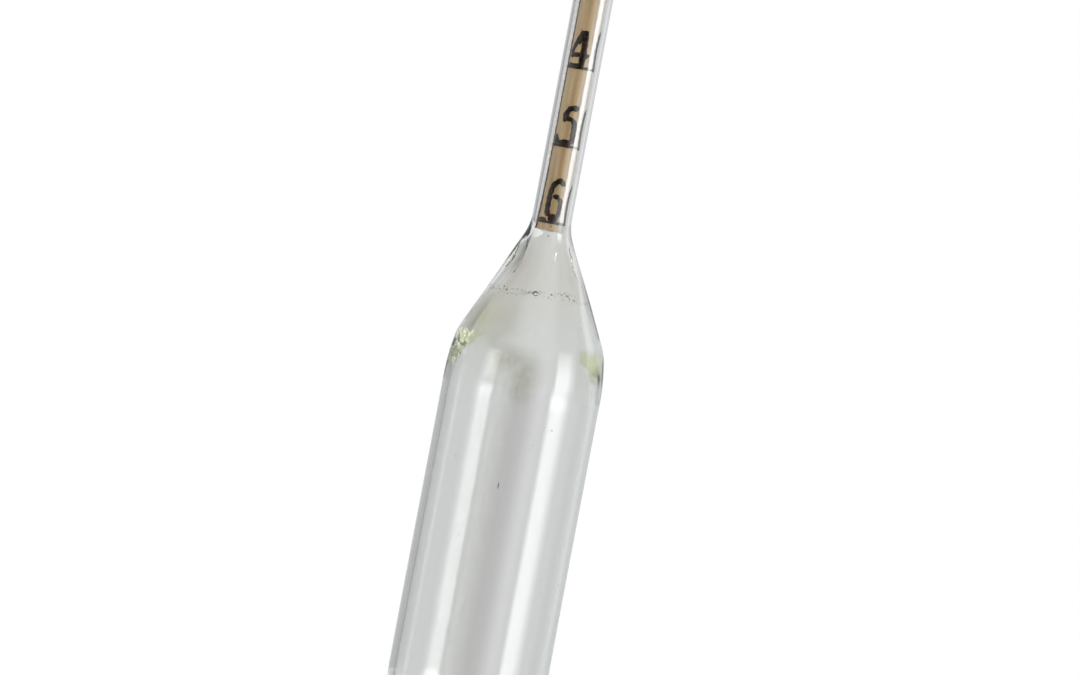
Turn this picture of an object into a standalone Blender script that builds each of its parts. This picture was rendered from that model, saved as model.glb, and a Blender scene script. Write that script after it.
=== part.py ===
"""A glass hydrometer: a sealed float with a rolled paper scale in its stem and lead shot in its bulb.

Metres, +Z up the stem. The origin is on the axis where the surface of plain water
crosses the stem, which is the 0 line of the scale. The scale is read from -Y.
"""

import math

import bmesh
import bpy
import numpy as np
from mathutils import Vector

MM = 0.001

# Driving dimensions, in millimetres, grams and grams per cubic centimetre. Heights are
# measured up from the shoulder, which is the top of the straight body.
MASS = 21.4
HEAVIEST = 1.060  # the densest liquid that the scale reads, at its lowest line
LOWEST_LINE = 18.7
BODY_R, BODY_WALL = 10.0, 0.88
STEM_R, STEM_WALL = 2.5, 0.40
WAIST_R, WAIST_WALL = 3.1, 0.90
BULB_R, BULB_WALL = 8.0, 0.70
PELLET_R = 1.8
PELLETS = 32

# The shoulder: a sloping cone from the neck to the corner, thick at both ends.
NECK = 18.05  # height where the slope would meet the stem
CORNER_R, CORNER = 9.36, 3.65  # where the slope rounds over into the body
NECK_BORE = 16.6  # the same two places on the inside
CORNER_BORE_R, CORNER_BORE = 7.7, 3.0
BORE_SWELL = 1.6  # depth below the shoulder at which the body reaches its full bore
WELD = 9.4  # height of the ring where the stem's flare is fused to the body

# Lengths along the axis.
SPARE_STEM = 13.0  # bare stem above the 0 line
TIP_WALL = 1.4
TAPER = 8.0  # the body's lower end, down to the waist
WAIST = 2.2
BULB_NECK = 1.6
BULB_SLOPE = 5.4  # the bulb's cone, from its neck to where it begins to round over
BULB_ROUND = 4.6  # from there to the widest ring
JOIN = 0.15  # half the gap left where two pieces are fused

# The paper scale and the wax.
PAPER = 0.12
PAPER_LOW = 17.45  # height of the strip's lower edge
PAPER_SHORT = 5.0  # how far the strip stops short of the stem's tip
PAPER_CLEAR = 0.30  # from the strip to the bore
PAPER_TURNS = 1.12
PAPER_PITCH = 0.18  # how far the strip spirals in over one turn
PAPER_SEAM = math.radians(72)
DAB_R, DAB_HEIGHT, DAB_DEPTH = 1.0, 1.8, 3.4
WAX_DEPTH = 1.0  # from the bulb's top end down to the wax
WAX_DIP = 0.5
WAX_CLEAR = 0.12

# How finely the shapes are made, and how the shot settles.
SIDES = 32
ARC_STEPS = 5
CLOSE = 0.02  # points of an outline nearer than this are one point
PELLET_CLEAR = 0.06  # between two pellets
WALL_CLEAR = 0.10  # between a pellet and the glass
GROWING, SINKING, RESTING = 500, 900, 300  # steps
SINK = 0.01  # a step
SEED = 37


def stem_area():
    """Square centimetres."""
    return math.pi * STEM_R**2 / 100


def water_line():
    """Height of the 0 line: a float of one mass sinks until it displaces that mass."""
    return LOWEST_LINE + 10 * MASS / stem_area() * (1 - 1 / HEAVIEST)


def tip_height():
    return water_line() + SPARE_STEM


def arc(before, corner, after, bend):
    """Points of the arc that rounds a corner, which it leaves by bend on each side."""
    corner = Vector(corner)
    start = corner + bend * (Vector(before) - corner).normalized()
    end = corner + bend * (Vector(after) - corner).normalized()
    weight = math.sin((start - corner).angle(end - corner) / 2)
    points = []
    for step in range(ARC_STEPS + 1):
        t = step / ARC_STEPS
        shares = ((1 - t) ** 2, 2 * weight * t * (1 - t), t**2)
        point = shares[0] * start + shares[1] * corner + shares[2] * end
        points.append(tuple(point / sum(shares)))
    return points


def rounded(corners):
    """The outline through (radius, height, bend) corners, between two plain ends."""
    flat = [corner[:2] for corner in corners]
    points = [flat[0]]
    for before, corner, after in zip(flat, corners[1:], flat[2:]):
        points += arc(before, corner[:2], after, corner[2])
    points.append(flat[-1])
    apart = [math.dist(a, b) > CLOSE for a, b in zip(points, points[1:])]
    return points[:1] + [point for point, kept in zip(points[1:], apart) if kept]


def on_slope(height, top, bottom):
    """The point at a height on the straight slope between two (radius, height) points."""
    share = (height - bottom[1]) / (top[1] - bottom[1])
    return bottom[0] + share * (top[0] - bottom[0]), height


def weld_outside():
    return on_slope(WELD, (STEM_R, NECK), (CORNER_R, CORNER))


def weld_inside():
    return on_slope(WELD, (STEM_R - STEM_WALL, NECK_BORE), (CORNER_BORE_R, CORNER_BORE))


def stem_outside():
    tip = tip_height()
    return rounded([(0, tip), (STEM_R, tip, STEM_R), (STEM_R, NECK, 1.5), weld_outside()])


def stem_inside():
    tip = tip_height() - TIP_WALL
    bore = STEM_R - STEM_WALL
    return rounded([(0, tip), (bore, tip, bore), (bore, NECK_BORE, 1.6), weld_inside()])


def body_outside(length):
    waist = -length - TAPER
    return rounded(
        [
            weld_outside(),
            (CORNER_R, CORNER, 0.9),
            (BODY_R, 0.2, 2.6),
            (BODY_R, -length, 4.4),
            (WAIST_R, waist, 2.0),
            (WAIST_R, waist - WAIST),
        ]
    )


def body_inside(length):
    bore = BODY_R - BODY_WALL
    waist_bore = WAIST_R - WAIST_WALL
    waist = -length - TAPER
    return rounded(
        [
            weld_inside(),
            (CORNER_BORE_R, CORNER_BORE, 1.6),
            (bore, -BORE_SWELL, 2.4),
            (bore, -length, 4.0),
            (waist_bore, waist + 0.6, 2.0),
            (waist_bore, waist - WAIST),
        ]
    )


def bulb_heights(length):
    """Heights of the bulb's top end, the end of its neck, its cone's end and its lowest point."""
    top = -length - TAPER - WAIST
    neck = top - BULB_NECK
    cone = neck - BULB_SLOPE
    return top, neck, cone, cone - BULB_ROUND - BULB_R


def bulb_outside(length):
    top, neck, cone, low = bulb_heights(length)
    return rounded(
        [
            (WAIST_R, top),
            (WAIST_R, neck, 1.5),
            (BULB_R, cone, BULB_ROUND),
            (BULB_R, low, BULB_R),
            (0, low),
        ]
    )


def bulb_inside(length):
    top, neck, cone, low = bulb_heights(length)
    bore = BULB_R - BULB_WALL
    low += BULB_WALL
    return rounded(
        [
            (WAIST_R - WAIST_WALL, top),
            (WAIST_R - WAIST_WALL, neck - 0.3, 1.5),
            (bore, cone, BULB_ROUND),
            (bore, low, bore),
            (0, low),
        ]
    )


def volume_of(outline):
    """Volume in cubic centimetres inside a turned outline, as a stack of cone slices."""
    total = 0
    for (r1, z1), (r2, z2) in zip(outline, outline[1:]):
        total += math.pi / 3 * (r1 * r1 + r1 * r2 + r2 * r2) * (z1 - z2)
    return total / 1000


def body_length():
    """Length of straight body with which the float sinks in water to its 0 line."""
    trial = 40.0
    rounding = math.pi * STEM_R**3 / 3 / 1000  # what the round tip lacks of a flat one
    stem = volume_of(stem_outside()) + rounding - stem_area() * SPARE_STEM / 10
    rest = volume_of(body_outside(trial)) + volume_of(bulb_outside(trial))
    missing = MASS - stem - rest
    return trial + missing * 1000 / (math.pi * BODY_R**2)


def trimmed(outline, top=0, bottom=0):
    """The outline with its ends pulled back along it by these heights."""
    return [slid(outline[0], outline[1], top), *outline[1:-1], slid(outline[-1], outline[-2], bottom)]


def slid(end, inner, distance):
    share = distance / abs(end[1] - inner[1]) if distance else 0
    return [end[i] + share * (inner[i] - end[i]) for i in range(2)]


def material(name, colour, roughness, metallic=0.0, transmission=0.0):
    made = bpy.data.materials.new(name)
    made.use_nodes = True
    made.diffuse_color = (*colour, 1)
    shader = made.node_tree.nodes["Principled BSDF"]
    shader.inputs["Base Color"].default_value = (*colour, 1)
    shader.inputs["Roughness"].default_value = roughness
    shader.inputs["Metallic"].default_value = metallic
    shader.inputs["Transmission Weight"].default_value = transmission
    return made


def place(name, mesh, finish, root, location=(0, 0, 0)):
    made = bpy.data.objects.new(name, mesh)
    made.location = location
    made.parent = root
    if not mesh.materials:
        mesh.materials.append(finish)
    root.users_collection[0].objects.link(made)
    return made


def turned(name, outline, finish, root):
    """A solid of revolution. The outline runs down the outside and back up the inside."""
    mesh = bpy.data.meshes.new(name)
    points = [(r * MM, 0, (z - water_line()) * MM) for r, z in outline]
    edges = [(i, i + 1) for i in range(len(points) - 1)]
    if outline[0][0] > 0:
        edges.append((len(points) - 1, 0))
    mesh.from_pydata(points, edges, [])
    made = place(name, mesh, finish, root)
    screw = made.modifiers.new("turn", "SCREW")
    screw.steps = SIDES
    screw.render_steps = SIDES
    screw.use_merge_vertices = True
    screw.merge_threshold = 0.00001
    screw.use_smooth_shade = True


def glass_pieces(length, finish, root):
    """The three pieces of glass, each open where it is fused to the next."""
    stem = trimmed(stem_outside(), bottom=JOIN), trimmed(stem_inside(), bottom=JOIN)
    body = trimmed(body_outside(length), JOIN, JOIN), trimmed(body_inside(length), JOIN, JOIN)
    bulb = trimmed(bulb_outside(length), top=JOIN), trimmed(bulb_inside(length), top=JOIN)
    turned("stem_tube", stem[0] + stem[1][::-1], finish, root)
    turned("float_body", body[0] + body[1][::-1], finish, root)
    turned("ballast_bulb", bulb[1][::-1] + bulb[0], finish, root)


def paper_scale(finish, root):
    """A paper strip rolled a little over one turn, which stands just clear of the bore."""
    high = tip_height() - PAPER_SHORT
    outer = STEM_R - STEM_WALL - PAPER_CLEAR - PAPER
    sheet = bmesh.new()
    bmesh.ops.create_grid(sheet, x_segments=44, y_segments=1, size=0.5)
    for vert in sheet.verts:
        share = vert.co.x + 0.5
        angle = PAPER_SEAM + math.tau * PAPER_TURNS * share
        radius = outer - PAPER_PITCH * PAPER_TURNS * (1 - share)
        height = PAPER_LOW + (vert.co.y + 0.5) * (high - PAPER_LOW) - water_line()
        vert.co = Vector((radius * math.cos(angle), radius * math.sin(angle), height)) * MM
    mesh = bpy.data.meshes.new("scale_strip")
    sheet.to_mesh(mesh)
    sheet.free()
    mesh.shade_smooth()
    made = place("scale_strip", mesh, finish, root)
    thick = made.modifiers.new("paper", "SOLIDIFY")
    thick.thickness = PAPER * MM
    thick.offset = 1


def wax_dab(finish, root):
    """A drop of sealing wax inside the top of the roll, which keeps it from turning."""
    ball = bmesh.new()
    bmesh.ops.create_uvsphere(ball, u_segments=16, v_segments=8, radius=1)
    size = Vector((DAB_R, DAB_R, DAB_HEIGHT / 2)) * MM
    bmesh.ops.scale(ball, vec=size, verts=ball.verts)
    mesh = bpy.data.meshes.new("scale_wax_dab")
    ball.to_mesh(mesh)
    ball.free()
    mesh.shade_smooth()
    height = (SPARE_STEM - DAB_DEPTH) * MM
    place("scale_wax_dab", mesh, finish, root, (0, 0, height))


def pushed_inside(centres, wall, reach):
    """Centres moved off the turned wall until they are reach away from it."""
    radius = np.hypot(centres[:, 0], centres[:, 1])
    flat = np.column_stack([radius, centres[:, 2]])
    start, along = wall[:-1], np.diff(wall, axis=0)
    to_start = flat[:, None] - start
    share = np.clip((to_start * along).sum(2) / (along**2).sum(1), 0, 1)
    offset = to_start - share[..., None] * along
    gap = np.linalg.norm(offset, axis=2)
    rows, nearest = np.arange(len(flat)), gap.argmin(1)
    nearest_gap = np.maximum(gap[rows, nearest], 1e-9)
    short = np.maximum(reach - nearest_gap, 0)
    flat += offset[rows, nearest] * (short / nearest_gap)[:, None]
    scale = flat[:, 0] / np.maximum(radius, 1e-9)
    return np.column_stack([centres[:, :2] * scale[:, None], flat[:, 1]])


def pushed_apart(centres, spacing):
    """Centres moved away from each other where two are closer than spacing."""
    between = centres[:, None] - centres
    distance = np.linalg.norm(between, axis=2) + np.eye(len(centres)) * spacing
    overlap = np.maximum(spacing - distance, 0)
    return centres + (between / distance[..., None] * overlap[..., None] / 2).sum(1)


def settled_shot(wall):
    """Where the pellets come to rest: they grow apart, then sink and push each other aside."""
    random = np.random.default_rng(SEED)
    low = wall[:, 1].min()
    centres = random.uniform(-3, 3, (PELLETS, 3))
    centres[:, 2] = np.linspace(low + 3, low + 13, PELLETS)
    spacing, reach = 2 * PELLET_R + PELLET_CLEAR, PELLET_R + WALL_CLEAR
    for step in range(GROWING + SINKING + RESTING):
        size = min(1, (step + 1) / GROWING)
        if GROWING < step < GROWING + SINKING:
            centres[:, 2] -= SINK
        for _ in range(3):
            centres = pushed_apart(centres, size * spacing)
            centres = pushed_inside(centres, wall, size * reach)
    return centres[np.argsort(centres[:, 2])]


def lead_shot(centres, finish, root):
    ball = bmesh.new()
    bmesh.ops.create_icosphere(ball, subdivisions=2, radius=PELLET_R * MM)
    mesh = bpy.data.meshes.new("pellet")
    ball.to_mesh(mesh)
    ball.free()
    mesh.shade_smooth()
    for number, (x, y, z) in enumerate(centres, 1):
        where = (x * MM, y * MM, (z - water_line()) * MM)
        place(f"shot_{number:02d}", mesh, finish, root, where)


def wax_seal(wall, floor, finish, root):
    """The wax poured over the shot: it fills the bulb's neck and dips in the middle."""
    rising = wall[wall[:, 1].argsort()]
    top = wall[0, 1] - WAX_DEPTH
    heights = np.linspace(top, floor, 6)
    radii = np.interp(heights, rising[:, 1], rising[:, 0]) - WAX_CLEAR
    side = [(float(r), float(z)) for r, z in zip(radii, heights)]
    turned("shot_wax_seal", [(0, top - WAX_DIP), *side, (0, floor)], finish, root)


def main():
    for old in list(bpy.data.objects):
        bpy.data.objects.remove(old)
    group = bpy.data.collections.new("hydrometer")
    bpy.context.scene.collection.children.link(group)
    root = bpy.data.objects.new("hydrometer_root", None)
    group.objects.link(root)

    glass = material("glass", (0.80, 0.84, 0.78), 0.05, transmission=1.0)
    paper = material("paper", (0.55, 0.40, 0.25), 0.85)
    lead = material("lead", (0.20, 0.20, 0.21), 0.55, metallic=0.8)
    wax = material("sealing_wax", (0.20, 0.05, 0.03), 0.45)

    length = body_length()
    glass_pieces(length, glass, root)
    paper_scale(paper, root)
    wax_dab(wax, root)
    wall = np.array(bulb_inside(length))
    centres = settled_shot(wall)
    lead_shot(centres, lead, root)
    wax_seal(wall, centres[:, 2].max() + PELLET_R + WALL_CLEAR, wax, root)


main()
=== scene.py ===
"""Looks of a glass hydrometer: fused glass, a hand-inked paper scale, lead shot and sealing wax.

Lengths are millimetres and heights are measured up from the shoulder, the top of the straight
body, until mesh_piece turns them into the frame's metres. The scale is read from -Y.
"""

import math

import bmesh
import bpy
import numpy as np
from mathutils import Matrix, Vector, noise


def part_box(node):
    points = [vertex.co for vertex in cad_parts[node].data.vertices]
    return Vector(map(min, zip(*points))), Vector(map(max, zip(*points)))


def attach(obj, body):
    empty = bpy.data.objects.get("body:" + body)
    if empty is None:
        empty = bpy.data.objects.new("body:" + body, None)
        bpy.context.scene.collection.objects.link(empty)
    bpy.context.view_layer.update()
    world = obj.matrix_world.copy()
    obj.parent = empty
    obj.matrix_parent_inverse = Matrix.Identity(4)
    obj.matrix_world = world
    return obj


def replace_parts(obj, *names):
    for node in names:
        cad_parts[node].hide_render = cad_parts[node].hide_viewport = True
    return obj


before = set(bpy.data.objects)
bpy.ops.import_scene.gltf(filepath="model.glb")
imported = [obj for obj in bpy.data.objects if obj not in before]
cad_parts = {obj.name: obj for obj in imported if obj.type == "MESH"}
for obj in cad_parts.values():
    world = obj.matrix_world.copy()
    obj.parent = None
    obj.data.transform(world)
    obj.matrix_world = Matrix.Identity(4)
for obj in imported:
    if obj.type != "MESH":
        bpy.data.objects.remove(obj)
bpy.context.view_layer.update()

MM = 0.001
TAU = math.tau
FRONT = -TAU / 4
SEED = 11

# The glass, as the CAD model has it.
WELD, JOIN = 9.4, 0.15
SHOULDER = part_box("float_body")[1].z / MM - WELD + JOIN
STEM_R, STEM_WALL = 2.5, 0.40
BODY_R, BODY_WALL = 10.0, 0.88
WAIST_R, WAIST_WALL = 3.1, 0.90
BULB_R, BULB_WALL = 8.0, 0.70
NECK, NECK_BORE = 18.05, 16.6
CORNER_R, CORNER = 9.36, 3.65
CORNER_BORE_R, CORNER_BORE = 7.7, 3.0
BORE_SWELL = 1.6
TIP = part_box("stem_tube")[1].z / MM - SHOULDER
TIP_WALL = 1.4
TAPER, WAIST = 8.0, 2.2
BULB_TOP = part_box("float_body")[0].z / MM - SHOULDER - JOIN
BULB_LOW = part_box("ballast_bulb")[0].z / MM - SHOULDER
BULB_NECK, BULB_ROUND = 1.6, 4.6
LENGTH = -BULB_TOP - TAPER - WAIST
STEM_LEAN = 0.20  # how far the stem was fused off the body's axis
NECK_OFF = 0.45  # how far the bore of the neck lies to the right

# The paper scale. Depths below the 0 line follow from the float's mass.
PAPER = 0.12
PAPER_R = STEM_R - STEM_WALL - 0.30
PAPER_TURNS, PAPER_PITCH, PAPER_SEAM = 1.12, 0.18, math.radians(72)
STRIP_LOW, STRIP_HIGH = (corner.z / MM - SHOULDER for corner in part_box("scale_strip"))
MASS = 21.4
STEM_AREA = math.pi * STEM_R**2 / 100
INK_LIFT, INK_THICK = 0.006, 0.016
PEN_STEPS = 6

PELLETS, PELLET_R = 32, 1.8
SIDES = 160
ARC_STEPS = 24
COARSE, FINE, FINE_FROM = 0.9, 0.25, -4.0  # steps along the glass, fine about the shoulder


# Outlines.


def arc(before, corner, after, bend):
    """Points of the arc that rounds a corner, which it leaves by bend on each side."""
    corner = Vector(corner)
    start = corner + bend * (Vector(before) - corner).normalized()
    end = corner + bend * (Vector(after) - corner).normalized()
    weight = math.sin((start - corner).angle(end - corner) / 2)
    t = np.linspace(0, 1, ARC_STEPS + 1)[:, None]
    shares = (1 - t) ** 2, 2 * weight * t * (1 - t), t**2
    points = shares[0] * np.array(start) + shares[1] * np.array(corner) + shares[2] * np.array(end)
    return points / sum(shares)


def rounded(corners):
    """The outline through (radius, height, bend) corners, between two plain ends."""
    flat = [corner[:2] for corner in corners]
    runs = [[flat[0]]]
    for before, corner, after in zip(flat, corners[1:], flat[2:]):
        runs.append(arc(before, corner[:2], after, corner[2]))
    runs.append([flat[-1]])
    return np.concatenate(runs)


def lengths_along(points):
    steps = np.linalg.norm(np.diff(points, axis=0), axis=1)
    return np.concatenate([[0], np.cumsum(steps)])


def respaced(outline, coarse, fine, fine_from, fine_to):
    """The outline at even steps, finer between two heights."""
    steps = np.linalg.norm(np.diff(outline, axis=0), axis=1)
    outline = outline[np.concatenate([[True], steps > 1e-6])]
    along = lengths_along(outline)
    places = [0.0]
    while places[-1] < along[-1]:
        height = np.interp(places[-1], along, outline[:, 1])
        places.append(places[-1] + (fine if fine_from < height < fine_to else coarse))
    places = np.array(places) * along[-1] / places[-1]
    return np.column_stack([np.interp(places, along, outline[:, i]) for i in range(2)])


def smooth_path(points, spacing):
    """A Catmull-Rom curve through the points, at even steps."""
    points = np.array(points, float)
    ends = [2 * points[0] - points[1], *points, 2 * points[-1] - points[-2]]
    curve = []
    for a, b, c, d in zip(ends, ends[1:], ends[2:], ends[3:]):
        t = np.linspace(0, 1, 12, endpoint=False)[:, None]
        bend = 2 * a - 5 * b + 4 * c - d + t * (3 * (b - c) + d - a)
        curve.append(b + 0.5 * t * (c - a + t * bend))
    curve = np.concatenate([*curve, points[-1:]])
    along = lengths_along(curve)
    places = np.linspace(0, along[-1], max(4, int(along[-1] / spacing) + 1))
    return np.column_stack([np.interp(places, along, curve[:, i]) for i in range(curve.shape[1])])


def bump(x, centre, width):
    return np.exp(-(((x - centre) / width) ** 2))


def turn_to(angle, centre):
    return (angle - centre + math.pi) % TAU - math.pi


def ease(value, start, end):
    share = np.clip((value - start) / (end - start), 0, 1)
    return share * share * (3 - 2 * share)


def leaned(points):
    """The stem stands a little off the body's axis, so all that is in it moves over."""
    moved = np.array(points, float)
    moved[:, 0] -= STEM_LEAN * ease(moved[:, 2], WELD - 1, NECK - 1)
    return moved


def piece(name, mesh, material):
    """An object for a mesh that is already in the frame's metres."""
    mesh.shade_smooth()
    mesh.materials.append(material)
    made = bpy.data.objects.new(name, mesh)
    bpy.context.scene.collection.objects.link(made)
    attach(made, "root")
    return made


def mesh_piece(name, verts, faces, material, slot):
    mesh = bpy.data.meshes.new(name)
    placed = (np.asarray(verts) + (0, 0, SHOULDER)) * MM
    mesh.from_pydata(placed.tolist(), [], faces)
    mesh.validate()
    return piece(name, mesh, material)


def ball_piece(name, subdivisions, reshape, material):
    """A ball of unit radius whose points are moved by reshape to their places in metres."""
    ball = bmesh.new()
    bmesh.ops.create_icosphere(ball, subdivisions=subdivisions, radius=1.0)
    for vert in ball.verts:
        vert.co = reshape(vert.co.normalized())
    mesh = bpy.data.meshes.new(name)
    ball.to_mesh(mesh)
    ball.free()
    return piece(name, mesh, material)


def joined(parts):
    """One list of vertices and faces from several."""
    verts, faces, start = [], [], 0
    for part_verts, part_faces in parts:
        verts.append(np.asarray(part_verts))
        faces += [tuple(i + start for i in face) for face in part_faces]
        start += len(part_verts)
    return np.concatenate(verts), faces


def skin_faces(rows, around):
    """Faces, looking outward, of rings of points with the two poles after them in the list."""
    top = rows * around
    last = top - around
    faces = []
    for side in range(around):
        after = (side + 1) % around
        faces.append((top, side, after))
        faces.append((top + 1, last + after, last + side))
        for ring in range(0, last, around):
            below = ring + around
            faces.append((ring + side, below + side, below + after, ring + after))
    return faces


def turned_over(faces):
    return [face[::-1] for face in faces]


# The glass.


def glass_outside():
    neck = BULB_TOP - BULB_NECK
    return rounded(
        [
            (0, TIP),
            (STEM_R, TIP, STEM_R),
            (STEM_R, NECK, 1.5),
            (CORNER_R, CORNER, 0.9),
            (BODY_R, 0.2, 2.6),
            (BODY_R, -LENGTH, 4.4),
            (WAIST_R, -LENGTH - TAPER, 2.0),
            (WAIST_R, neck, 1.5),
            (BULB_R, BULB_LOW + BULB_R + BULB_ROUND, BULB_ROUND),
            (BULB_R, BULB_LOW, BULB_R),
            (0, BULB_LOW),
        ]
    )


def glass_inside():
    """The bore follows the outside, with thick glass at the neck and behind the corner."""
    tip = TIP - TIP_WALL
    low = BULB_LOW + BULB_WALL
    neck = BULB_TOP - BULB_NECK - 0.3
    stem, body = STEM_R - STEM_WALL, BODY_R - BODY_WALL
    waist, bulb = WAIST_R - WAIST_WALL, BULB_R - BULB_WALL
    return rounded(
        [
            (0, tip),
            (stem, tip, stem),
            (stem, NECK_BORE, 1.6),
            (CORNER_BORE_R, CORNER_BORE, 1.6),
            (body, -BORE_SWELL, 2.4),
            (body, -LENGTH, 4.0),
            (waist, -LENGTH - TAPER + 0.6, 2.0),
            (waist, neck, 1.5),
            (bulb, low + bulb + BULB_ROUND, BULB_ROUND),
            (bulb, low, bulb),
            (0, low),
        ]
    )


def outer_radius(radius, height, angle):
    """Blown glass is never quite round: slow swells along it, and the ridge of the weld."""
    swell = 0.020 * np.sin(0.11 * height + 1.3 * np.cos(angle + 0.6))
    ridge = 0.004 * bump(height, weld_height(angle), 0.22)
    return radius + swell * np.minimum(radius / BODY_R, 1) + ridge


# Each fold of the crumpled bore is a wave: how fast it turns up and round the bore, and its start.
FOLDS = [(2.9, 1.2, 0.4), (-2.3, 3.9, 1.9), (5.2, 4.4, 0.9), (-6.9, 5.1, 2.6), (3.3, -9.4, 1.2)]


def crumpled(height, around):
    """Folds of glass gathered without order: waves that cross at odd angles."""
    waves = [np.sin(up * height + along * around + start) for up, along, start in FOLDS]
    return sum(waves) / len(waves)


def inner_radius(radius, height, angle):
    """The bore: off centre, more so in the neck, streaked, and crumpled at the left corner."""
    share = np.minimum(radius / BODY_R, 1)
    off = 0.06 * np.cos(angle - 2.2) * share + NECK_OFF * np.cos(angle) * bump(height, 12.6, 3.4)
    streaks = 0.008 * np.sin(9 * angle + 0.8) + 0.005 * np.sin(23 * angle + 2.1)
    drawn = 0.012 * np.sin(7 * angle + 0.5) * bump(height, 14.5, 3.0)
    left = bump(turn_to(angle, math.pi + 0.25), 0, 0.40) * bump(height, 2.8, 1.2)
    crumple = 0.018 * crumpled(height, turn_to(angle, math.pi) * CORNER_BORE_R)
    return radius + off + streaks * share + drawn + left * crumple


def turned_skin(outline, radius_at, inward):
    """Vertices and faces of a closed turned skin whose rings may leave the true circle."""
    angles = np.arange(SIDES) * TAU / SIDES
    rings = outline[1:-1]
    radii = radius_at(rings[:, :1], rings[:, 1:], angles[None, :])
    z = np.repeat(rings[:, 1:], SIDES, axis=1)
    verts = np.stack([radii * np.cos(angles), radii * np.sin(angles), z], axis=-1).reshape(-1, 3)
    poles = [[0, 0, outline[0, 1]], [0, 0, outline[-1, 1]]]
    faces = skin_faces(len(rings), SIDES)
    return leaned(np.concatenate([verts, poles])), turned_over(faces) if inward else faces


def bubble(centre, size):
    """A small closed hollow in the glass, its faces turned inward as the bore's are."""
    around, rows = 14, 7
    polar = np.linspace(0, math.pi, rows + 2)[1:-1, None]
    turn = np.arange(around) * TAU / around
    ring = [np.sin(polar) * np.cos(turn), np.sin(polar) * np.sin(turn), np.cos(polar) + 0 * turn]
    ring = np.stack(ring, axis=-1).reshape(-1, 3)
    verts = np.concatenate([ring, [[0, 0, 1], [0, 0, -1]]]) * size + centre
    return verts, [(first, *rest[::-1]) for first, *rest in skin_faces(rows, around)]


# Bubbles trapped where the weld faces -Y: across, height, and half their width.
SEEDS_IN_FRONT = [
    (-0.45, 9.45, 0.38), (-1.25, 9.42, 0.16), (0.02, 9.78, 0.12), (-3.9, 9.28, 0.18),
    (-4.2, 9.62, 0.14), (1.45, 9.66, 0.14), (3.4, 9.78, 0.15), (4.2, 9.42, 0.18),
    (-0.25, 16.9, 0.10),
]
# Specks of soot and grit that face -Y: across, height, and half their width.
SPECKS_IN_FRONT = [
    (-4.9, 9.35, 0.08), (-4.4, 9.30, 0.05), (-4.0, 9.66, 0.07), (-1.5, 9.30, 0.06),
    (-1.1, 9.72, 0.05), (1.5, 9.72, 0.07), (1.9, 9.60, 0.05), (3.3, 9.85, 0.07),
    (3.75, 9.58, 0.09), (4.7, 9.30, 0.07), (5.3, 9.28, 0.05), (-0.25, 16.85, 0.07),
    (0.1, 15.8, 0.04), (4.6, -6.75, 0.09), (2.75, -8.9, 0.06), (2.5, -9.5, 0.04),
    (-8.5, -30.1, 0.08), (-0.6, -33.8, 0.05),
]


WELD_BUBBLES, BODY_BUBBLES, WELD_SPECKS = 110, 40, 70
LONG_SPECK = (-0.6, -14.6)


def outside_at(height):
    """Radius of the cone of the shoulder."""
    return np.interp(height, [0, CORNER, NECK], [BODY_R, CORNER_R, STEM_R])


def in_front(across, height, depth):
    """The place that faces -Y, so far under the glass's surface."""
    deep = outside_at(height) - depth
    return across, -math.sqrt(deep**2 - across**2), height


def at_angle(angle, radius, height):
    return radius * math.cos(angle), radius * math.sin(angle), height


def weld_height(angle):
    """The weld isn't quite level."""
    return WELD + 0.2 * np.sin(2 * angle)


def bubbles():
    """Bubbles in the wall: a string along the weld, and a few drawn out long in the body."""
    random = np.random.default_rng(SEED)
    found = []
    for across, height, half in SEEDS_IN_FRONT:
        found.append(bubble(in_front(across, height, 0.7), (1.1 * half, half, 0.9 * half)))
    for _ in range(WELD_BUBBLES):
        angle = random.uniform(0, TAU)
        height = weld_height(angle) + random.normal(0, 0.10)
        deep = outside_at(height) - random.uniform(0.4, 0.9)
        half = random.uniform(0.04, 0.09)
        found.append(bubble(at_angle(angle, deep, height), (half, half, half)))
    middle = BODY_R - BODY_WALL / 2
    for _ in range(BODY_BUBBLES):
        angle, height = random.uniform(0, TAU), random.uniform(-LENGTH + 5, -2)
        half = random.uniform(0.03, 0.06)
        found.append(bubble(at_angle(angle, middle, height), (half, half, 3 * half)))
    return found


def weld_specks(material):
    """Soot burnt into the weld, and grit in the glass, all a little under the surface."""
    random = np.random.default_rng(SEED + 5)
    found = []
    for across, height, half in SPECKS_IN_FRONT:
        found.append(bubble(in_front(across, height, 0.35), (half, half, 1.1 * half)))
    for _ in range(WELD_SPECKS):
        angle = random.uniform(-0.1, math.pi + 0.1)
        height = weld_height(angle) + random.normal(0, 0.12)
        deep = outside_at(height) - random.uniform(0.3, 0.7)
        half = random.uniform(0.03, 0.08)
        found.append(bubble(at_angle(angle, deep, height), (half, half, half)))
    across, height = LONG_SPECK
    found.append(bubble((across, -BODY_R + 0.35, height), (0.06, 0.05, 0.42)))
    verts, faces = joined(found)
    mesh_piece("glass_specks", verts, turned_over(faces), material, "glass")


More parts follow.
